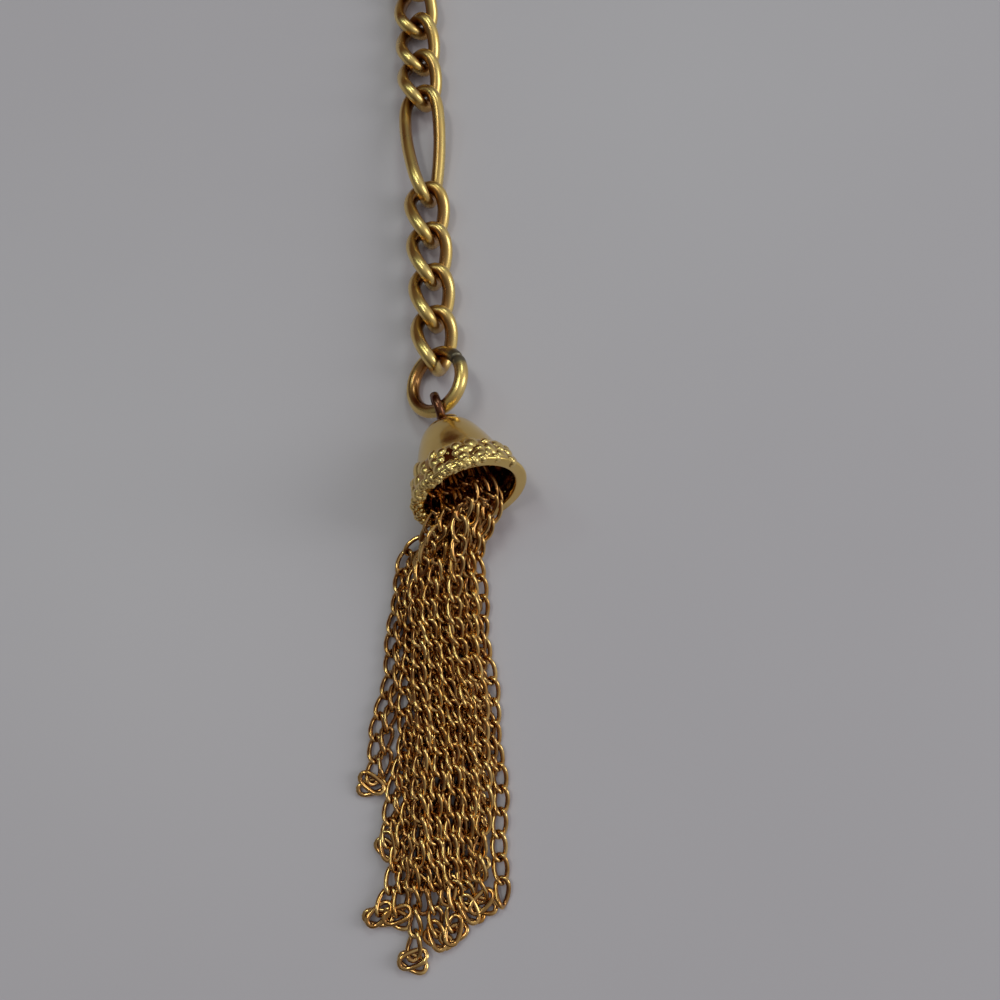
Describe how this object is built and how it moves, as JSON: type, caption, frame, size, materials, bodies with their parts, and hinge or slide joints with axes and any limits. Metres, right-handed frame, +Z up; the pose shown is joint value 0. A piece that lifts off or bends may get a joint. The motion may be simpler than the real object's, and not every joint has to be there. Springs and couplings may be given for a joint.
{
  "type": "tassel necklace",
  "caption": "Gold-tone necklace: a long curb chain of small and long links, a short drop, and a domed bell cap with a tassel of fine chains, lying flat.",
  "frame": {"origin": "middle of the whole necklace's footprint, on the surface that it lies on", "axes": "+Z up from the surface, +Y from the tassel along the drop chain to the back of the neck loop, +X to the right seen from above"},
  "size_m": [0.195, 0.3164, 0.0117],
  "materials": {
    "chain_metal": "polished gold-tone plating, a little tarnished between the links",
    "ring_metal": "polished gold-tone plating, tarnished at the joint",
    "bell_metal": "cast and polished gold-tone plating, darker between the grains",
    "tassel_metal": "fine gold-tone chain, shaded between the strands"
  },
  "bodies": {
    "root": {"drop_link_1": "chain_metal", "drop_link_2": "chain_metal", "drop_link_3": "chain_metal", "drop_link_4": "chain_metal", "drop_link_5": "chain_metal", "drop_link_6": "chain_metal", "drop_link_7": "chain_metal", "drop_link_8": "chain_metal", "drop_link_9": "chain_metal", "neck_chain_left": "chain_metal", "neck_chain_right": "chain_metal", "junction_ring": "ring_metal", "clasp_ring": "ring_metal", "jump_ring": "ring_metal", "hanger_eye": "ring_metal", "bell_cap": "bell_metal", "tassel": "tassel_metal"}
  },
  "joints": []
}
